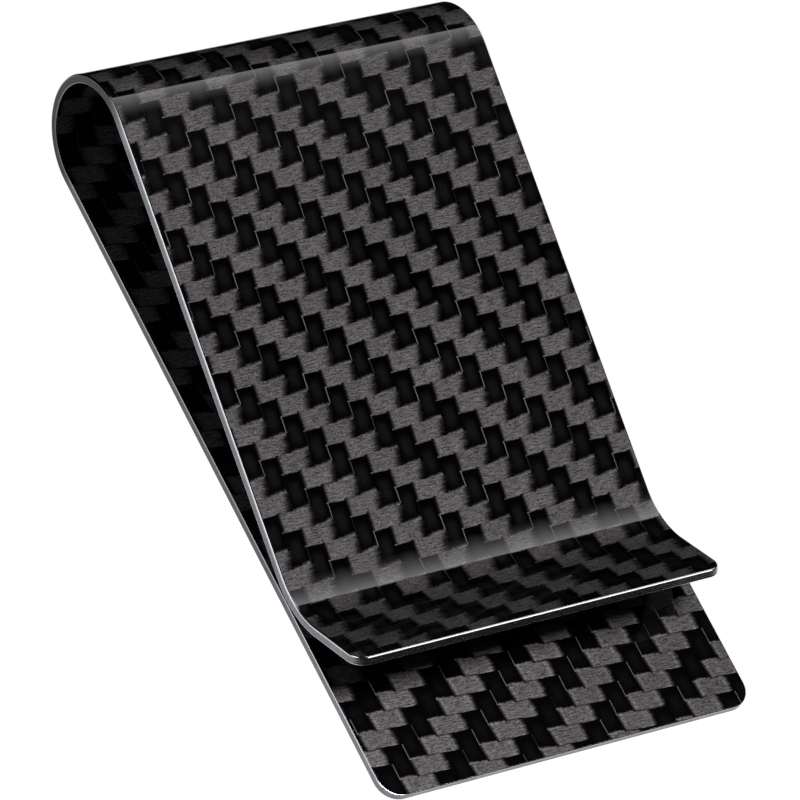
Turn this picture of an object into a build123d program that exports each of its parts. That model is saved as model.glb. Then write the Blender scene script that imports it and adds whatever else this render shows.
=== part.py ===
from build123d import *
import math
import os

# Money clip: one thin strip of carbon-fibre laminate, bent into a teardrop.
# A flat back plate runs into a round loop, the loop into a sloping front arm, and the
# arm into a reverse bend (the pinch) and a raised lip.
# +X runs across the strip, +Y points at the loop, +Z points up from the back plate's
# outer face, which lies on Z = 0. The origin is under the middle of the whole clip.

# Driving dimensions, in millimetres and degrees
width = 38.0
length = 69.0
loop_radius = 5.95
arm_slope = 13.6
lip_slope = 33.0
lip_length = 6.1
pinch_radius = 8.0
pinch_gap = 0.15
plate_corner_radius = 2.0
lip_corner_radius = 1.4
face_ply = 0.22
core_ply = 0.18

# The layup, from the outer face of the strip to its inner face
ply_thicknesses = {
    "outer_twill": face_ply,
    "outer_core": core_ply,
    "inner_core": core_ply,
    "inner_twill": face_ply,
}
thickness = sum(ply_thicknesses.values())

# The loop is cut in two on a radial plane half way round, and the clip flexes on the
# line where that plane meets the outer face. Angles are seen from +X, from the +Y
# direction towards +Z.
loop_start = -90.0
loop_end = 90.0 + arm_slope
loop_half = (loop_end - loop_start) / 2

# Profile points as (Y, Z)
free_end = -length / 2
loop_centre = (length / 2 - loop_radius, loop_radius)


def polar(centre, radius, angle):
    """The (Y, Z) point at a radius and an angle in degrees about a centre."""
    turn = math.radians(angle)
    return (centre[0] + radius * math.cos(turn), centre[1] + radius * math.sin(turn))


# The arm leaves the loop along a tangent, and the pinch starts where the arm's slope
# brings the strip's inner face down to the gap above the back plate.
arm_normal = loop_end
arm_heading = arm_normal + 90
arm_top = polar(loop_centre, loop_radius, loop_end)
pinch_hollow = pinch_radius - thickness
pinch_height = thickness + pinch_gap + pinch_radius
arm_fall = arm_top[1] + pinch_hollow * math.sin(math.radians(arm_normal)) - pinch_height
arm_length = arm_fall / math.sin(math.radians(arm_slope))
arm_foot = polar(arm_top, arm_length, arm_heading)
pinch_centre = polar(arm_foot, pinch_hollow, arm_normal)
lip_normal = 90 - lip_slope
lip_heading = lip_normal + 90
lip_root = polar(pinch_centre, pinch_hollow, lip_normal + 180)


def save(piece, name):
    """Label a finished ply and write it to its own file."""
    piece.part.label = name
    export_step(piece.part, f"parts/{name}.step")


def bent_ply(name, centre, radii, start, sweep):
    """A ply wrapped round an axis along X, between two radii."""
    small, large = radii
    with BuildPart() as ply:
        with BuildSketch(Plane.YZ):
            with BuildLine():
                CenterArc(centre, large, start, sweep)
                CenterArc(centre, small, start, sweep)
                Line(polar(centre, small, start), polar(centre, large, start))
                Line(polar(centre, small, start + sweep), polar(centre, large, start + sweep))
            make_face()
        extrude(amount=width / 2, both=True)
    save(ply, name)


def flat_ply(name, base, heading, normal, run, depths, corner_radius=0.0):
    """A flat ply that starts at a (Y, Z) point and runs along a heading.

    The strip's outer face faces along the normal, and the ply lies below that face
    between the two depths given. The far end's corners may be rounded.
    """
    top, bottom = depths
    start = polar(base, -bottom, normal)
    along = polar((0, 0), 1, heading)
    facing = polar((0, 0), 1, normal)
    sheet = Plane(origin=(0, *start), x_dir=(0, *along), z_dir=(0, *facing))
    with BuildPart() as ply:
        with BuildSketch(sheet) as outline:
            Rectangle(run, width, align=(Align.MIN, Align.CENTER))
            if corner_radius > 0:
                fillet(outline.vertices().group_by(Axis.X)[-1], corner_radius)
        extrude(amount=bottom - top)
    save(ply, name)


os.makedirs("parts", exist_ok=True)

top = 0.0
for layer, layer_thickness in ply_thicknesses.items():
    bottom = top + layer_thickness
    depths = (top, bottom)

    # Back plate: from the loop's lower tangent line to the free end, outer face down
    plate_end = (loop_centre[0], 0.0)
    plate_length = loop_centre[0] - free_end
    flat_ply(f"back_plate_{layer}", plate_end, 180, -90, plate_length, depths, plate_corner_radius)

    # Loop: two equal arcs from the back plate round to the arm
    radii = (loop_radius - bottom, loop_radius - top)
    bent_ply(f"loop_lower_{layer}", loop_centre, radii, loop_start, loop_half)
    bent_ply(f"loop_upper_{layer}", loop_centre, radii, loop_start + loop_half, loop_half)

    # Front arm: straight, falling towards the back plate
    flat_ply(f"arm_{layer}", arm_top, arm_heading, arm_normal, arm_length, depths)

    # Pinch: the reverse bend, which presses the notes against the back plate
    radii = (pinch_hollow + top, pinch_hollow + bottom)
    bent_ply(f"pinch_{layer}", pinch_centre, radii, arm_normal + 180, -(arm_slope + lip_slope))

    # Lip: straight, raised so that notes slide in under it
    flat_ply(f"lip_{layer}", lip_root, lip_heading, lip_normal, lip_length, depths, lip_corner_radius)

    top = bottom
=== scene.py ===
import bpy
import math
from mathutils import Matrix, Vector


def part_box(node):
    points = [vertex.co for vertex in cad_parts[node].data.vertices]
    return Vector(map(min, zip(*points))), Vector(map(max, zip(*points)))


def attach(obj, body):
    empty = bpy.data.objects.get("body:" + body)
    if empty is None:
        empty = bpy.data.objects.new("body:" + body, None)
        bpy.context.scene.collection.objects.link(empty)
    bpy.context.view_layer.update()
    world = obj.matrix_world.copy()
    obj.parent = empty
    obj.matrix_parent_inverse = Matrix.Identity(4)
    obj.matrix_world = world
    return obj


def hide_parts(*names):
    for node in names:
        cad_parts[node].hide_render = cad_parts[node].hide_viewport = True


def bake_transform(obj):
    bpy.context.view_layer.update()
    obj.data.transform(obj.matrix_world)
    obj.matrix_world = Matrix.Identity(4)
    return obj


# Money clip: a strip of clear-coated carbon-fibre twill, bent into a teardrop.
# Everything is in metres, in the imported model's frame: +X across the strip, +Y towards the
# loop, +Z up from the outer face of the back plate.

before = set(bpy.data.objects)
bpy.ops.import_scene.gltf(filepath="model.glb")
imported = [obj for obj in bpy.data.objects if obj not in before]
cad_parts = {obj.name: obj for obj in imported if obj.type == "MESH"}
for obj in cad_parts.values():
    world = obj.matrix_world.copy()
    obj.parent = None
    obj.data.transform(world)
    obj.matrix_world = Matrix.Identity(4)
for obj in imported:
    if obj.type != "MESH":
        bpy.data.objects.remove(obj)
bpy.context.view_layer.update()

MM = 0.001
PLIES = ["outer_twill", "outer_core", "inner_core", "inner_twill"]


# ---------------------------------------------------------------- sizes, from the frame

def slope_and_run(node, thickness):
    """The slope (radians) and length of a tilted flat ply, from its box in Y and Z."""
    low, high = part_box(node)
    size = high - low
    slope = math.atan2(size.z, size.y)
    rounds_to_settle = 20
    for _ in range(rounds_to_settle):
        rise = size.z - thickness * math.cos(slope)
        reach = size.y - thickness * math.sin(slope)
        slope = math.atan2(rise, reach)
    return slope, math.hypot(rise, reach)


def ply_thickness(ply):
    low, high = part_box(f"back_plate_{ply}")
    return high.z - low.z


thickness_of = {ply: ply_thickness(ply) for ply in PLIES}
thickness = sum(thickness_of.values())

plate_low, plate_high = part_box("back_plate_outer_twill")
width = plate_high.x - plate_low.x
free_end = plate_low.y
loop_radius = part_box("loop_upper_outer_twill")[1].z / 2
loop_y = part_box("loop_lower_outer_twill")[0].y
arm_slope, arm_run = slope_and_run("arm_outer_twill", thickness_of["outer_twill"])
lip_slope, lip_run = slope_and_run("lip_outer_twill", thickness_of["outer_twill"])
pinch_low, pinch_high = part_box("pinch_inner_twill")
pinch_radius = (pinch_high.y - pinch_low.y) / (math.sin(arm_slope) + math.sin(lip_slope))
pinch_hollow = pinch_radius - thickness

# The corners of the two ends, in plan
plate_corner = 2.0 * MM
lip_corner = 1.4 * MM
# The rounding of the strip's long edges: on its outer face, its inner face and between plies
outer_edge = 0.16 * MM
inner_edge = 0.08 * MM
hidden_edge = 0.02 * MM
# The outermost column of faces along each edge is this wide
rim_column = 0.12 * MM
# The loop's pieces reach this far on to the plate and the arm
flat_overlap = 3.0 * MM


# ---------------------------------------------------------------- the strip's profile

# The strip is described along its outer face: s runs from the back plate's free end,
# round the loop and down the arm to the tip of the lip. Each span is (length of the outer
# face, turn in radians about +X, length of the inner face).
loop_turn = math.pi + arm_slope
pinch_turn = arm_slope + lip_slope
SPANS = {
    "plate": (loop_y - free_end, 0.0, loop_y - free_end),
    "loop": (loop_turn * loop_radius, loop_turn, loop_turn * (loop_radius - thickness)),
    "arm": (arm_run, 0.0, arm_run),
    "pinch": (pinch_turn * pinch_hollow, -pinch_turn, pinch_turn * pinch_radius),
    "lip": (lip_run, 0.0, lip_run),
}

# Where each span starts, along the outer and the inner face
SPAN_START = {}
INNER_START = {}
outer_length = 0.0
inner_length = 0.0
for span_name, (outer_run, _, inner_run) in SPANS.items():
    SPAN_START[span_name] = outer_length
    INNER_START[span_name] = inner_length
    outer_length += outer_run
    inner_length += inner_run


def on_strip(s):
    """The outer face's point (y, z) and outward normal (y, z) at a length s along it, and the
    length along the inner face there. The lip may run on past its tip."""
    y, z, heading = free_end, 0.0, 0.0
    for name, (run, turn, inner_run) in SPANS.items():
        start = SPAN_START[name]
        here = min(max(s - start, 0.0), run)
        if name == "lip":
            here = s - start
        bend = turn * here / run
        if abs(turn) > 0:
            radius = run / turn
            y += radius * (math.sin(heading + bend) - math.sin(heading))
            z -= radius * (math.cos(heading + bend) - math.cos(heading))
        else:
            y += here * math.cos(heading)
            z += here * math.sin(heading)
        heading += bend
        inner = INNER_START[name] + here * inner_run / run
        if s <= start + run:
            break
    return y, z, math.sin(heading), -math.cos(heading), inner


def place(s, x, depth):
    """The point at a length s along the strip, x across it and a depth below its outer face."""
    y, z, normal_y, normal_z, _ = on_strip(s)
    return Vector((x, y - normal_y * depth, z - normal_z * depth))


# ---------------------------------------------------------------- weave sizes

# A tow is about 1.7 mm wide across the strip, and the rows along it are packed a little
# tighter. The inner face's cloth is a little coarser across the strip.
TOW = 1.7053 * MM
OUTER_ROW = 0.9483 * TOW
INNER_TOW = 1.0174 * TOW
INNER_ROW = 0.9354 * TOW
# Where the cloth lies on each face, in tows across and rows along
OUTER_PHASE = (-0.251, -1.42)
INNER_PHASE = (0.226, -0.10)
# The cloth isn't laid quite square to the strip
OUTER_SKEW = 0.0232
INNER_SKEW = 0.045


def outer_weave(s, x):
    """Tow counts across and along the outer face, where the loop meets the arm at 0."""
    along = s - SPAN_START["arm"]
    return (x + OUTER_SKEW * along) / TOW + OUTER_PHASE[0], along / OUTER_ROW + OUTER_PHASE[1]


def inner_weave(s, x):
    """Tow counts on the inner face, counted from the loop towards the free end."""
    inner = on_strip(s)[4]
    along = INNER_START["loop"] - inner
    return INNER_PHASE[0] - x / INNER_TOW, (along - INNER_SKEW * x) / INNER_ROW + INNER_PHASE[1]


# ---------------------------------------------------------------- ply meshes

def spread(start, end, step):
    """Evenly spaced values from start to end, no further apart than step."""
    count = max(1, math.ceil((end - start) / step - 1e-6))
    return [start + (end - start) * k / count for k in range(count + 1)]


CORNER_STEPS = 10
ROUND_EDGE_STEPS = 5
HIDDEN_EDGE_STEPS = 2
COLUMN_STEP = 0.045  # of the strip's half width
SHARP_ANGLE = math.radians(40)

# Material numbers of a ply's faces
FACE, CUT, RIM = 0, 1, 2


def rounded_rows(root, toward, corner, inset):
    """Rows (s, half width) round the two corners of an end, seen in the flat strip."""
    radius = corner - inset
    straight = width / 2 - corner
    turns = [math.pi / 2 * k / CORNER_STEPS for k in range(1, CORNER_STEPS + 1)]
    return [(root + toward * radius * math.sin(a), straight + radius * math.cos(a)) for a in turns]


def edge_steps(top, bottom, top_radius, bottom_radius):
    """(inset, depth) from the top face, over its rounded edge and down to the bottom face."""
    steps = []
    for k in range(ROUND_EDGE_STEPS + 1):
        a = math.pi / 2 * k / ROUND_EDGE_STEPS
        steps.append((top_radius * (1 - math.sin(a)), top + top_radius * (1 - math.cos(a))))
    for k in range(HIDDEN_EDGE_STEPS + 1):
        a = math.pi / 2 * k / HIDDEN_EDGE_STEPS
        inset = bottom_radius * (1 - math.cos(a))
        steps.append((inset, bottom - bottom_radius * (1 - math.sin(a))))
    return steps


def border_of(last, columns, start_corner, end_corner):
    """The grid points (row, column) round a ply's open edges, in order. The two ends are left
    out where they are cut square."""
    path = [(i, 0) for i in range(last + 1)]
    if end_corner:
        path += [(last, j) for j in range(1, columns)]
    path += [(i, columns) for i in range(last, -1, -1)]
    if start_corner:
        path += [(0, j) for j in range(columns - 1, 0, -1)]
    return path


def ply_object(name, vertices, faces, face_kind, weave_at, materials):
    """A mesh object with a material number for each face, and its tow counts as a UV map."""
    mesh = bpy.data.meshes.new(name)
    mesh.from_pydata(vertices, [], faces)
    for material in materials:
        mesh.materials.append(material)
    mesh.polygons.foreach_set("material_index", face_kind)
    layer = mesh.uv_layers.new(name="weave")
    for loop in mesh.loops:
        layer.data[loop.index].uv = weave_at[loop.vertex_index]
    mesh.update()
    mesh.shade_smooth()
    mesh.set_sharp_from_angle(angle=SHARP_ANGLE)
    piece = bpy.data.objects.new(name, mesh)
    bpy.context.scene.collection.objects.link(piece)
    return piece


def ply_piece(name, rows_s, start_corner, end_corner, edge, weave, materials):
    """A closed ply: rows along the strip, with rounded edges.

    An end with a corner radius is rounded in plan, an end without one is cut square. The
    edge is its steps (inset, depth), and the material number of each band between two.
    """
    steps, bands = edge

    def rows_at(inset):
        rows = [(s, width / 2 - inset) for s in rows_s]
        if start_corner:
            rows = rounded_rows(rows_s[0], -1, start_corner, inset)[::-1] + rows
        if end_corner:
            rows = rows + rounded_rows(rows_s[-1], 1, end_corner, inset)
        return rows

    inner_column = 1 - 2 * rim_column / width
    across = [-1.0] + spread(-inner_column, inner_column, COLUMN_STEP) + [1.0]
    columns = len(across) - 1
    last = len(rows_at(0)) - 1
    bottom = len(steps) - 1
    path = border_of(last, columns, start_corner, end_corner)
    border = set(path)
    cuts = ([] if start_corner else [0]) + ([] if end_corner else [last])

    # The top and the bottom are whole grids, and the rings between them only borders
    vertices, weave_at, index = [], [], {}
    for ring, (inset, depth) in enumerate(steps):
        whole = ring in (0, bottom)
        for i, (s, half) in enumerate(rows_at(inset)):
            for j in range(columns + 1):
                if whole or (i, j) in border:
                    x = half * across[j]
                    index[ring, i, j] = len(vertices)
                    vertices.append(place(s, x, depth))
                    weave_at.append(weave(s, x))

    faces, face_kind = [], []

    def add(corners, kind):
        faces.append([index[c] for c in corners[::-1]])
        face_kind.append(kind)

    for i in range(last):
        for j in range(columns):
            add([(0, i, j), (0, i, j + 1), (0, i + 1, j + 1), (0, i + 1, j)], FACE)
            add([(bottom, i, j), (bottom, i + 1, j), (bottom, i + 1, j + 1), (bottom, i, j + 1)], FACE)
    for a, b in zip(path, path[1:] + path[:1]):
        if a[0] == b[0] and a[0] in cuts:
            continue
        for ring in range(bottom):
            add([(ring, *a), (ring, *b), (ring + 1, *b), (ring + 1, *a)], bands[ring])
    for i in cuts:
        turn = 1 if i == 0 else -1
        for j in range(columns):
            add([(0, i, j), (bottom, i, j), (bottom, i, j + 1), (0, i, j + 1)][::turn], CUT)
        for j, way in ((0, -1), (columns, 1)):
            add([(ring, i, j) for ring in range(bottom + 1)][::-way * turn], CUT)

    return ply_object(name, vertices, faces, face_kind, weave_at, materials)


# ---------------------------------------------------------------- materials

class Graph:
    """Short calls that build one material's nodes."""

    def __init__(self, name):
        self.material = bpy.data.materials.new(name)
        self.material.use_nodes = True
        self.nodes = self.material.node_tree.nodes
        self.links = self.material.node_tree.links
        self.shader = self.nodes["Principled BSDF"]

    def put(self, socket, value):
        if isinstance(value, bpy.types.NodeSocket):
            self.links.new(value, socket)
        else:
            socket.default_value = value

    def math(self, operation, *values):
        node = self.nodes.new("ShaderNodeMath")
        node.operation = operation
        for socket, value in zip(node.inputs, values):
            self.put(socket, value)
        return node.outputs[0]

    def add(self, a, b):
        return self.math("ADD", a, b)

    def sub(self, a, b):
        return self.math("SUBTRACT", a, b)

    def mul(self, a, b):
        return self.math("MULTIPLY", a, b)

    def ramp(self, value, start, end, low=0.0, high=1.0):
        """A smooth step from low to high while value goes from start to end."""
        node = self.nodes.new("ShaderNodeMapRange")
        node.interpolation_type = "SMOOTHSTEP"
        for socket, given in zip(node.inputs, (value, start, end, low, high)):
            self.put(socket, given)
        return node.outputs[0]

    def largest(self, a, b):
        return self.math("MAXIMUM", a, b)

    def split(self, vector):
        node = self.nodes.new("ShaderNodeSeparateXYZ")
        self.links.new(vector, node.inputs[0])
        return node.outputs

    def vector(self, x, y, z=0.0):
        node = self.nodes.new("ShaderNodeCombineXYZ")
        for socket, given in zip(node.inputs, (x, y, z)):
            self.put(socket, given)
        return node.outputs[0]

    def noise(self, vector, detail=2.0, roughness=0.5):
        """Noise from about 0 to 1, of cells one unit wide."""
        node = self.nodes.new("ShaderNodeTexNoise")
        self.put(node.inputs["Vector"], vector)
        self.put(node.inputs["Scale"], 1.0)
        self.put(node.inputs["Detail"], detail)
        self.put(node.inputs["Roughness"], roughness)
        return node.outputs["Fac"]

    def random(self, vector):
        node = self.nodes.new("ShaderNodeTexWhiteNoise")
        self.put(node.inputs["Vector"], vector)
        return node.outputs["Value"]

    def mix(self, factor, a, b):
        node = self.nodes.new("ShaderNodeMix")
        node.data_type = "RGBA"
        self.put(node.inputs["Factor"], factor)
        self.put(node.inputs["A"], a)
        self.put(node.inputs["B"], b)
        return node.outputs["Result"]

    def grey(self, level, tint):
        """A colour of that brightness: the tint scaled by the level."""
        node = self.nodes.new("ShaderNodeVectorMath")
        node.operation = "SCALE"
        node.inputs[0].default_value = tint
        self.put(node.inputs["Scale"], level)
        return node.outputs[0]

    def bump(self, height, distance, strength=1.0):
        node = self.nodes.new("ShaderNodeBump")
        node.inputs["Distance"].default_value = distance
        node.inputs["Strength"].default_value = strength
        self.put(node.inputs["Height"], height)
        return node.outputs["Normal"]


# ---------------------------------------------------------------- the twill

# The 2x2 twill repeats every four tows. Cross tows show as grey floats two tows long and one
# row high. Lengthwise tows show as black floats one tow wide and two rows long. Both step
# sideways by one tow from row to row. Both tows are the same near-black fibre: the grey of the
# cross tows is painted reflection of the lamps, and the shader's own anisotropic reflection
# comes on top of it.
FLOAT = 2.0
REPEAT = 4.0

WEFT_TINT = (1.055, 0.965, 0.985)
WARP_TINT = (1.0, 0.98, 1.0)
LINE_STRENGTH = 0.85


class TwillGraph(Graph):
    """A material's nodes, with the places in the weave and the noises that the twill is made of."""

    def __init__(self, name):
        super().__init__(name)
        weave = self.nodes.new("ShaderNodeUVMap")
        weave.uv_map = "weave"
        tows = self.split(weave.outputs[0])
        self.u, self.v = tows[0], tows[1]

        # Tows wander a little
        wander = self.cloth_noise(0.4, 0.4, 3.0, detail=1.0)
        self.u = self.add(self.u, self.mul(self.sub(wander, 0.5), 0.16))
        wander = self.cloth_noise(0.6, 0.4, 9.0, detail=1.0)
        self.v = self.add(self.v, self.mul(self.sub(wander, 0.5), 0.20))

        # The tow and the row, and the place from 0 to 1 across each
        self.column = self.math("FLOOR", self.u)
        self.row = self.math("FLOOR", self.v)
        self.across = self.sub(self.u, self.column)
        self.down = self.sub(self.v, self.row)
        # Down a black float from 0 to 2, then over the grey ones below it from 2 to 4
        past_black = self.sub(self.v, self.column)
        self.along_black = self.math("FLOORED_MODULO", past_black, REPEAT)
        self.black_repeat = self.math("FLOOR", self.mul(past_black, 1 / REPEAT))
        # Along a grey float from 0 to 2, then over the black ones from 2 to 4
        past_grey = self.add(self.sub(self.u, self.row), 3.0)
        self.along_grey = self.math("FLOORED_MODULO", past_grey, REPEAT)
        grey_repeat = self.math("FLOOR", self.mul(past_grey, 1 / REPEAT))
        self.luck = self.random(self.vector(grey_repeat, self.row, 7.0))
        self.crown = self.sub(1.0, self.squared(self.mul(self.sub(self.across, 0.5), 2.5)))

        # Frayed tow ends, across and along the strip, and uneven tows
        self.tufts = self.sub(self.cloth_noise(0.9, 5.0, 0.0, detail=3.0, roughness=0.7), 0.5)
        self.frays = self.sub(self.cloth_noise(9.0, 0.9, 6.0, detail=3.0, roughness=0.7), 0.5)
        self.lumps = self.sub(self.cloth_noise(1.1, 1.7, 4.0, detail=1.0), 0.5)
        # Fibres of the grey and of the black tows, and a finer grain
        self.streak_x = self.cloth_noise(1.9, 12.0, 1.0, detail=1.5, roughness=0.6)
        self.streak_y = self.cloth_noise(14.0, 1.3, 2.0, detail=3.0, roughness=0.65)
        self.speck = self.cloth_noise(7.5, 14.0, 5.0, detail=1.0, roughness=0.6)

    def squared(self, value):
        return self.math("POWER", value, 2.0)

    def cloth_noise(self, per_tow, per_row, seed, detail, roughness=0.5):
        """Noise with that many cells per tow across the strip and per row along it."""
        spot = self.vector(self.mul(self.u, per_tow), self.mul(self.v, per_row), seed)
        return self.noise(spot, detail, roughness)


def outer_floats(g):
    """Grey floats of the outer face: crisp where they start, and ragged where they end, which is
    cut back towards the lower edge. The end fades softly to black: painted shade where the tow
    dives under."""
    end = g.sub(2.03, g.mul(g.math("POWER", g.down, 1.3), 0.27))
    end = g.add(end, g.add(g.mul(g.tufts, 0.46), g.mul(g.lumps, 0.34)))
    end = g.add(end, g.mul(g.sub(g.luck, 0.5), 0.14))
    # Painted shade: a soft fade to black over the ragged end, where the tow dives under
    ragged_painted_fade = g.ramp(g.along_grey, g.add(end, 0.24), g.sub(end, 0.48))
    crisp = g.ramp(g.along_grey, 0.0, 0.29)
    return g.mul(ragged_painted_fade, crisp)


def inner_floats(g):
    """Grey floats of the inner face, which runs the other way: ragged and bowed where they start,
    with a soft fade of painted shade there where the tow dives under, and fairly crisp where
    they end."""
    bow = g.squared(g.sub(g.mul(g.down, 2.0), 1.0))
    start = g.add(0.03, g.mul(bow, 0.06))
    start = g.add(start, g.add(g.mul(g.tufts, 0.34), g.mul(g.lumps, 0.12)))
    end = g.sub(1.97, g.mul(g.down, 0.07))
    # Painted shade: a soft fade up from black over the ragged start, where the tow dives under
    ragged_painted_fade = g.ramp(g.along_grey, g.sub(start, 0.06), g.add(start, 0.52))
    crisp = g.ramp(g.along_grey, g.add(end, 0.09), g.sub(end, 0.34))
    return g.mul(ragged_painted_fade, crisp)


# How each face of the cloth looks. Places are in tows and levels are linear brightness.
# - floats: where its grey floats show
# - foot_slant: how far the grey row below leans over a black float's foot
# - covers_top: whether the grey row above also covers a thin line of a black float's top
# - black and its sheen: a black float's level, and what its painted sheen adds
# - grey: a grey float's level, which is painted reflection
# - gap_luck, gap_level: how a float's luck darkens the gap between two grey rows
# - line_across, line_down, line_luck, line_level: the painted glint beside a black float, a bright
#   line where a tow edge catches the light
# - lip_lines: what is left of the painted glints on the lip
OUTER_LOOK = {
    "floats": outer_floats,
    "foot_slant": 0.13,
    "covers_top": True,
    "black": 0.0014,
    "sheen": 0.022,
    "grey": 0.096,
    "gap_luck": (0.72, 0.98),
    "gap_level": (0.97, 0.35),
    "line_across": 0.060,
    "line_down": 0.0,
    "line_luck": 0.25,
    "line_level": 0.17,
    "lip_lines": 0.3,
}
INNER_LOOK = {
    "floats": inner_floats,
    "foot_slant": 0.03,
    "covers_top": False,
    "black": 0.0016,
    "sheen": 0.003,
    "grey": 0.11136,
    "gap_luck": (0.1, 0.98),
    "gap_level": (0.65, 0.15),
    "line_across": 0.972,
    "line_down": 1.0,
    "line_luck": 0.1,
    "line_level": 0.08,
    "lip_lines": 1.0,
}


def grey_mask(g, look):
    """1 where a grey cross tow is on top, 0 where a black lengthwise one is."""
    grey = g.mul(look["floats"](g), g.math("LESS_THAN", g.along_grey, 2.6))
    rise = g.add(g.mul(g.lumps, 0.18), g.mul(g.frays, 0.26))
    rise = g.add(g.mul(g.across, look["foot_slant"]), rise)
    foot = g.ramp(g.add(g.along_black, rise), 1.85, 2.10)
    foot = g.mul(foot, g.math("LESS_THAN", g.along_black, FLOAT))
    grey = g.largest(grey, foot)
    if look["covers_top"]:
        grey = g.largest(grey, g.ramp(g.along_black, 0.09, 0.03))
    return grey


def black_level(g, look):
    """Black floats are almost black, with a faint painted sheen down the middle."""
    middle = g.mul(g.ramp(g.along_black, 0.25, 0.85), g.ramp(g.along_black, 2.0, 1.2))
    sheen = g.mul(g.largest(g.crown, 0.0), middle)
    sheen = g.mul(sheen, g.add(0.15, g.mul(g.streak_y, 1.4)))
    return g.add(look["black"], g.mul(sheen, look["sheen"]))


def grey_level(g, look):
    """Grey floats stand for painted reflection of the lamps, show their fibres, and differ a little.
    Some have a dark gap to the next grey row, and their lower edge has a painted highlight."""
    shade = g.add(0.91, g.mul(g.luck, 0.18))
    grain = g.add(1.0, g.mul(g.sub(g.streak_x, 0.5), 2.7))
    grain = g.largest(g.add(grain, g.mul(g.sub(g.speck, 0.5), 2.7)), 0.2)
    level = g.mul(g.mul(shade, grain), look["grey"])
    gap = g.add(3.0, g.mul(g.lumps, 0.05))
    from_gap = g.math("ABSOLUTE", g.sub(g.along_black, gap))
    depth = g.ramp(g.luck, *look["gap_luck"], *look["gap_level"])
    level = g.mul(level, g.ramp(from_gap, 0.015, 0.09, depth, 1.0))
    # Painted highlight: the lower tenth of each grey float is up to 22% brighter
    return g.mul(level, g.ramp(g.sub(1.0, g.down), 0.10, 0.0, 1.0, 1.22))


def painted_glints(g, look):
    """1 on painted glints: bright lines where a tow edge catches the light, which some black floats
    have where two lie side by side.
    """
    line = g.ramp(g.math("ABSOLUTE", g.sub(g.across, look["line_across"])), 0.036, 0.014)
    start, end = look["line_down"], look["line_down"] + 1.0
    line = g.mul(line, g.ramp(g.along_black, start + 0.01, start + 0.08))
    line = g.mul(line, g.ramp(g.along_black, end - 0.02, end - 0.12))
    chance = g.random(g.vector(g.column, g.black_repeat, 11.0))
    line = g.mul(line, g.ramp(chance, look["line_luck"], 0.75))
    if look["lip_lines"] < 1:
        lip_row = (SPAN_START["lip"] - SPAN_START["arm"]) / OUTER_ROW + OUTER_PHASE[1]
        line = g.mul(line, g.ramp(g.v, lip_row - 3.0, lip_row - 1.0, 1.0, look["lip_lines"]))
    return line


def fibre_tangent(g, is_across):
    """The fibres' direction: along the strip, or across it where is_across is 1."""
    along = g.nodes.new("ShaderNodeTangent")
    along.direction_type = "UV_MAP"
    along.uv_map = "weave"
    geometry = g.nodes.new("ShaderNodeNewGeometry")
    turned = g.nodes.new("ShaderNodeVectorMath")
    turned.operation = "CROSS_PRODUCT"
    g.links.new(geometry.outputs["Normal"], turned.inputs[0])
    g.links.new(along.outputs[0], turned.inputs[1])
    direction = g.nodes.new("ShaderNodeMix")
    direction.data_type = "VECTOR"
    g.put(direction.inputs["Factor"], is_across)
    g.links.new(along.outputs[0], direction.inputs[4])
    g.links.new(turned.outputs[0], direction.inputs[5])
    return direction.outputs[1]


def twill_material(name, look):
    """Clear-coated 2x2 twill, whose fibres reflect in a streak across their own direction."""
    g = TwillGraph(name)
    is_grey = grey_mask(g, look)
    line = painted_glints(g, look)
    black = g.grey(black_level(g, look), WARP_TINT)
    colour = g.mix(is_grey, black, g.grey(grey_level(g, look), WEFT_TINT))
    # Painted glints: this light colour stands for tow edges catching the light
    line_colour = (*[look["line_level"]] * 3, 1.0)
    g.put(g.shader.inputs["Base Color"], g.mix(g.mul(line, LINE_STRENGTH), colour, line_colour))
    g.put(g.shader.inputs["Tangent"], fibre_tangent(g, g.largest(is_grey, line)))

    # The tows are crowned under the coat
    height_x = g.add(g.mul(g.mul(g.down, g.sub(1.0, g.down)), 3.0), g.mul(g.streak_x, 0.5))
    height_y = g.add(g.mul(g.crown, 0.75), g.mul(g.streak_y, 0.25))
    height = g.add(g.mul(is_grey, height_x), g.mul(g.sub(1.0, is_grey), height_y))
    g.put(g.shader.inputs["Normal"], g.bump(height, 0.02 * MM, 0.8))
    g.put(g.shader.inputs["Roughness"], g.add(0.38, g.mul(g.speck, 0.12)))

    g.shader.inputs["Metallic"].default_value = 0.75
    g.shader.inputs["Specular Tint"].default_value = (0.1, 0.1, 0.1, 1.0)
    g.shader.inputs["Specular IOR Level"].default_value = 0.02
    g.shader.inputs["Anisotropic"].default_value = 0.8
    g.shader.inputs["Coat Weight"].default_value = 1.0
    g.shader.inputs["Coat Roughness"].default_value = 0.045
    g.shader.inputs["Coat IOR"].default_value = 1.5
    return g.material


# ---------------------------------------------------------------- the strip's edges

def scaled_place(g, size):
    """Object coordinates, in units of that size."""
    scaled = g.nodes.new("ShaderNodeVectorMath")
    scaled.operation = "SCALE"
    g.links.new(g.nodes.new("ShaderNodeTexCoord").outputs["Object"], scaled.inputs[0])
    scaled.inputs["Scale"].default_value = 1 / size
    return scaled.outputs[0]


# How bright the strip's edge is round the loop, where it is darkened with painted shade, and along the
# plate
LOOP_PAINTED_SHADE = 0.20
PLATE_DARKENING = 0.55
# Where it falls to that, in mm of Y: past the start of the loop, and along the plate
LOOP_FADE = (-3.5, 1.0)
PLATE_FADE = (-27.0, -10.0)
# The plate's darkening is gone this many mm above its inner face
PLATE_FADE_TOP = 0.15


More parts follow.
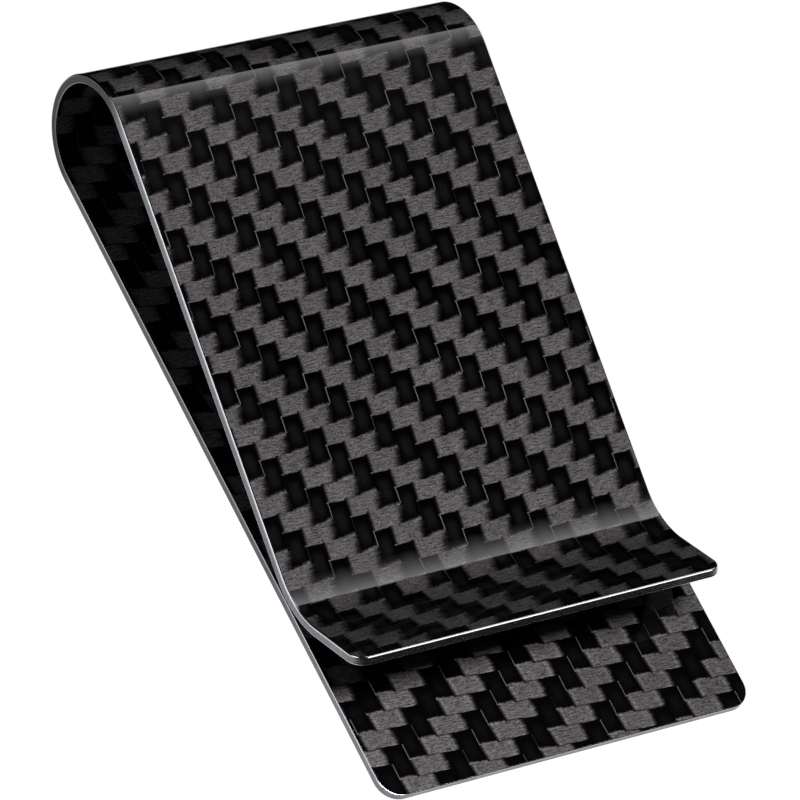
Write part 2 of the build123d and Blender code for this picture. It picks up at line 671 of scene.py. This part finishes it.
def edge_darkening(g):
    """How bright the strip's edge is. It's 1 along the arm and least round the loop, where the
    darkening is painted shade. The plate's edge is a little darker too, away from its free end."""
    spot = g.split(scaled_place(g, MM))
    y, z = spot[1], spot[2]
    fade_start, fade_end = (loop_y / MM + past for past in LOOP_FADE)
    loop_part = g.ramp(y, fade_start, fade_end, 1.0, LOOP_PAINTED_SHADE)
    plate_part = g.ramp(y, *PLATE_FADE, 1.0, PLATE_DARKENING)
    above_plate = thickness / MM
    plate_part = g.ramp(z, above_plate, above_plate + PLATE_FADE_TOP, plate_part, 1.0)
    return g.math("MINIMUM", loop_part, plate_part)


def cut_edge_material(name):
    """The sanded edge of the laminate: satin grey, with fibre ends."""
    g = Graph(name)
    grain = g.noise(scaled_place(g, 0.12 * MM), detail=3.0, roughness=0.6)
    patch = g.noise(scaled_place(g, 1.4 * MM), detail=2.0)
    level = g.add(0.04, g.add(g.mul(grain, 0.20), g.mul(patch, 0.12)))
    # Painted shade: the edge is darker round the loop, and a little darker along the plate
    level = g.mul(level, edge_darkening(g))
    g.put(g.shader.inputs["Base Color"], g.grey(level, (0.97, 0.98, 1.08)))
    g.shader.inputs["Metallic"].default_value = 0.9
    g.put(g.shader.inputs["Roughness"], g.add(0.14, g.mul(grain, 0.20)))
    g.put(g.shader.inputs["Normal"], g.bump(grain, 0.006 * MM, 0.6))
    return g.material


def rim_material(name):
    """The polished corner of the strip, where resin and coat run over the edge."""
    g = Graph(name)
    grain = g.noise(scaled_place(g, 0.25 * MM), detail=3.0, roughness=0.6)
    # The rim darkens the same way: painted shade round the loop, and a little along the plate
    level = g.mul(g.add(0.42, g.mul(grain, 0.36)), edge_darkening(g))
    g.put(g.shader.inputs["Base Color"], g.grey(level, (0.97, 0.98, 1.05)))
    g.shader.inputs["Metallic"].default_value = 1.0
    g.put(g.shader.inputs["Roughness"], g.add(0.06, g.mul(grain, 0.14)))
    g.shader.inputs["Coat Weight"].default_value = 1.0
    g.shader.inputs["Coat Roughness"].default_value = 0.05
    return g.material


outer_face = twill_material("twill_outer_face", OUTER_LOOK)
inner_face = twill_material("twill_inner_face", INNER_LOOK)
cut_edge = cut_edge_material("laminate_cut_edge")
polished_rim = rim_material("polished_rim")


# ---------------------------------------------------------------- the plies

BEND_STEP = math.radians(2)
FLAT_STEP = 1.5 * MM
LIP_STEP = 1.0 * MM


def section_rows():
    """Row positions along the strip for its three sections."""
    plate_cut = SPAN_START["loop"] - flat_overlap
    arm_cut = SPAN_START["arm"] + flat_overlap
    loop_rows = spread(SPAN_START["loop"], SPAN_START["arm"], BEND_STEP * loop_radius)
    pinch_rows = spread(SPAN_START["pinch"], SPAN_START["lip"], BEND_STEP * pinch_hollow)
    lip_root = outer_length - lip_corner
    return {
        "plate": spread(plate_corner, plate_cut, FLAT_STEP),
        "loop": [plate_cut] + loop_rows + [arm_cut],
        "arm": spread(arm_cut, SPAN_START["pinch"], FLAT_STEP)[:-1]
        + pinch_rows
        + spread(SPAN_START["lip"], lip_root, LIP_STEP)[1:],
    }


# The CAD nodes that each section and each ply stands for, by the parts of their names
SECTION_NODES = {
    "plate": ["back_plate"],
    "loop": ["loop_lower", "loop_upper"],
    "arm": ["arm", "pinch", "lip"],
}
PLY_PARTS = {
    "outer_twill": ("outer_face", "face_twill"),
    "outer_core": ("outer_core", "core_fibre"),
    "inner_core": ("inner_core", "core_fibre"),
    "inner_twill": ("inner_face", "face_twill"),
}


def ply_edge(ply, top, bottom):
    """The edge steps and bands of a ply. The two face plies have a polished outside edge."""
    rounded = [RIM] * ROUND_EDGE_STEPS
    hidden = [CUT] * (1 + HIDDEN_EDGE_STEPS)
    if ply == "outer_twill":
        return edge_steps(top, bottom, outer_edge, hidden_edge), rounded + hidden
    if ply == "inner_twill":
        turned_over = edge_steps(-bottom, -top, inner_edge, hidden_edge)
        return [(inset, -depth) for inset, depth in turned_over[::-1]], hidden + rounded
    return edge_steps(top, bottom, hidden_edge, hidden_edge), [CUT] * len(rounded + hidden)


top = 0.0
rows = section_rows()
for ply in PLIES:
    bottom = top + thickness_of[ply]
    part_name, slot = PLY_PARTS[ply]
    edge = ply_edge(ply, top, bottom)
    facing = inner_face if ply == "inner_twill" else outer_face
    if slot == "core_fibre":
        facing = cut_edge
    weave = inner_weave if ply == "inner_twill" else outer_weave
    for section, nodes in SECTION_NODES.items():
        piece = ply_piece(
            f"{section}_{part_name}",
            rows[section],
            plate_corner if section == "plate" else 0,
            lip_corner if section == "arm" else 0,
            edge,
            weave,
            [facing, cut_edge, polished_rim],
        )
        if section == "plate":
            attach(piece, "back_plate")
        elif section == "arm":
            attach(piece, "front_arm")
        else:
            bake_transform(piece)
        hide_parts(*[f"{node}_{ply}" for node in nodes])
    top = bottom


# ---------------------------------------------------------------- stage and light

def emitter(name, colour, strength):
    """A plain glowing material for the stage."""
    material = bpy.data.materials.new(name)
    material.use_nodes = True
    nodes = material.node_tree.nodes
    nodes.remove(nodes["Principled BSDF"])
    glow = nodes.new("ShaderNodeEmission")
    glow.inputs["Color"].default_value = (*colour, 1.0)
    glow.inputs["Strength"].default_value = strength
    material.node_tree.links.new(glow.outputs[0], nodes["Material Output"].inputs["Surface"])
    return material


def stage_mesh(name, vertices, faces, material):
    mesh = bpy.data.meshes.new(name)
    mesh.from_pydata(vertices, [], faces)
    mesh.materials.append(material)
    made = bpy.data.objects.new(name, mesh)
    bpy.context.scene.collection.objects.link(made)
    return made


STAGE_SIZE = 3.0
FLOOR_DROP = 0.05 * MM


def white_floor():
    """A plain white floor just under the clip."""
    material = bpy.data.materials.new("floor_white")
    material.use_nodes = True
    shader = material.node_tree.nodes["Principled BSDF"]
    shader.inputs["Base Color"].default_value = (0.3, 0.3, 0.3, 1.0)
    shader.inputs["Roughness"].default_value = 0.9
    shader.inputs["Specular IOR Level"].default_value = 0.0
    shader.inputs["Emission Color"].default_value = (1.0, 1.0, 1.0, 1.0)
    shader.inputs["Emission Strength"].default_value = 1.0
    corners = [(-1, -1), (1, -1), (1, 1), (-1, 1)]
    points = [(STAGE_SIZE * x, STAGE_SIZE * y, -FLOOR_DROP) for x, y in corners]
    stage_mesh("floor", points, [(0, 1, 2, 3)], material)


def white_backdrop():
    """A white dome that only the camera sees."""
    rings, sides = 8, 24
    rim_below_floor = 0.1
    points = []
    for i in range(rings + 1):
        tilt = math.pi / 2 * i / rings
        for k in range(sides):
            a = 2 * math.pi * k / sides
            reach = STAGE_SIZE * math.cos(tilt)
            height = STAGE_SIZE * math.sin(tilt) - rim_below_floor
            points.append((reach * math.cos(a), reach * math.sin(a), height))
    faces = []
    for i in range(rings):
        for k in range(sides):
            n = (k + 1) % sides
            faces.append((i * sides + k, i * sides + n, (i + 1) * sides + n, (i + 1) * sides + k))
    dome = stage_mesh("backdrop", points, faces, emitter("backdrop_white", (1, 1, 1), 1.0))
    dome.visible_diffuse = False
    dome.visible_glossy = False
    dome.visible_transmission = False
    dome.visible_shadow = False


def aim(made, location, target):
    made.location = location
    made.rotation_mode = "QUATERNION"
    made.rotation_quaternion = (Vector(target) - Vector(location)).to_track_quat("-Z", "Y")


def light_only(made, receivers):
    """Let a lamp shine on these pieces alone, as a flagged studio lamp does."""
    group = bpy.data.collections.new(made.name + "_receivers")
    for name in receivers:
        group.objects.link(bpy.data.objects[name])
    made.light_linking.receiver_collection = group


LAMP_DISTANCE = 1.3
CLIP_MIDDLE = (0, 0, 6.0 * MM)


def softbox(name, direction, size, radiance, receivers):
    """A rectangular studio lamp that faces the clip from a direction."""
    lamp = bpy.data.lights.new(name, "AREA")
    lamp.shape = "RECTANGLE"
    lamp.size, lamp.size_y = size
    lamp.energy = radiance * math.pi * size[0] * size[1]
    made = bpy.data.objects.new(name, lamp)
    bpy.context.scene.collection.objects.link(made)
    made.visible_camera = False
    aim(made, Vector(direction).normalized() * LAMP_DISTANCE, CLIP_MIDDLE)
    light_only(made, receivers)


def black_flag(name, near, far, height):
    """A low black card along X, lying on the floor from near to far and standing at far.

    It keeps the white floor out of the gloss that faces it.
    """
    half = 0.4
    profile = [(near, 0), (far, 0), (far, height)]
    points = [(x, y, z) for y, z in profile for x in (-half, half)]
    faces = [(0, 1, 3, 2), (2, 3, 5, 4)]
    flag = stage_mesh(name, points, faces, emitter(f"{name}_black", (0, 0, 0), 0.0))
    flag.visible_camera = False
    flag.visible_diffuse = False
    flag.visible_transmission = False
    flag.visible_shadow = False


BAND_PEAK = 2.00
BAND_FADE = 1.6


def band_glow():
    """A glow that fades from the box's low edge to nothing at its high one."""
    material = emitter("band_box_glow", (0.97, 0.96, 1.0), 1.0)
    nodes, links = material.node_tree.nodes, material.node_tree.links
    glow = next(n for n in nodes if n.type == "EMISSION")
    place_on_box = nodes.new("ShaderNodeUVMap")
    split = nodes.new("ShaderNodeSeparateXYZ")
    fall = nodes.new("ShaderNodeMapRange")
    fall.inputs["From Min"].default_value = 0.0
    fall.inputs["From Max"].default_value = 1.0
    fall.inputs["To Min"].default_value = BAND_PEAK
    fall.inputs["To Max"].default_value = 0.0
    faded = nodes.new("ShaderNodeMath")
    faded.operation = "POWER"
    faded.inputs[1].default_value = BAND_FADE
    links.new(place_on_box.outputs[0], split.inputs[0])
    links.new(split.outputs[1], fall.inputs["Value"])
    links.new(fall.outputs[0], faded.inputs[0])
    links.new(faded.outputs[0], glow.inputs["Strength"])
    return material


def band_box(receivers):
    """A graded strip box above the arm. It shows as the soft band past the loop and in the pinch.

    It spans the turn about X that the two bends reflect, brightest at its low edge.
    """
    low_turn, high_turn = math.radians(50.0), math.radians(91.0)
    side_low, side_high = 0.30, 0.80
    distance, steps = 1.6, 12
    points, faces = [], []
    for k in range(steps + 1):
        turn = low_turn + (high_turn - low_turn) * k / steps
        for side in (side_low, side_high):
            reach = math.sqrt(1 - side * side)
            way = Vector((side, reach * math.cos(turn), reach * math.sin(turn)))
            points.append(way * distance)
    for k in range(steps):
        faces.append((2 * k, 2 * k + 2, 2 * k + 3, 2 * k + 1))
    box = stage_mesh("band_box", points, faces, band_glow())
    layer = box.data.uv_layers.new(name="UVMap")
    for loop in box.data.loops:
        k = loop.vertex_index
        layer.data[loop.index].uv = (k % 2, (k // 2) / steps)
    box.visible_camera = False
    light_only(box, receivers)


def names_of(sections, parts):
    return [f"{section}_{part}" for section in sections for part in parts]


# The arm's two core plies share their names with CAD nodes. A look-up by name finds those
# hidden nodes, so the lamps below don't reach these two plies.
OUTSIDE_PARTS = ["outer_face", "outer_core", "inner_core"]
outside = names_of(["plate", "loop", "arm"], OUTSIDE_PARTS)

white_floor()
white_backdrop()
black_flag("loop_flag", near=0.043, far=0.060, height=0.025)
black_flag("lip_flag", near=-0.038, far=-0.060, height=0.040)
softbox("key", (0.54, -0.55, 0.64), (0.65, 1.15), 4.0, outside)
softbox("side", (-0.80, 0.16, 0.55), (1.2, 0.9), 1.9, outside + ["plate_inner_face", "loop_inner_face"])
softbox("overhead", (0.25, 0.03, 0.97), (0.6, 0.6), 13.0, ["plate_inner_face"])
band_box(names_of(["loop", "arm"], ["outer_face", "outer_core"]))

world = bpy.data.worlds.new("studio")
world.use_nodes = True
world.node_tree.nodes["Background"].inputs["Color"].default_value = (0.95, 0.95, 1.0, 1.0)
world.node_tree.nodes["Background"].inputs["Strength"].default_value = 0.015
bpy.context.scene.world = world
bpy.context.scene.view_settings.view_transform = "Standard"


# ---------------------------------------------------------------- camera

def photo_camera():
    """A long lens, above and to the left of the free end, rolled so that the loop is on top."""
    azimuth, elevation, roll = math.radians(-55.95), math.radians(49.30), math.radians(35.15)
    distance = 0.63455
    target = Vector((-2.76 * MM, -1.68 * MM, 6.0 * MM))
    reach = math.cos(elevation)
    back = Vector((math.sin(azimuth) * reach, -math.cos(azimuth) * reach, math.sin(elevation)))
    data = bpy.data.cameras.new("camera")
    data.sensor_width = 36.0
    data.lens = 337.94
    camera = bpy.data.objects.new("camera", data)
    bpy.context.scene.collection.objects.link(camera)
    level = (-back).to_track_quat("-Z", "Y").to_matrix().to_4x4()
    rolled = level @ Matrix.Rotation(roll, 4, "Z")
    camera.matrix_world = Matrix.Translation(target + back * distance) @ rolled
    bpy.context.scene.camera = camera


photo_camera()
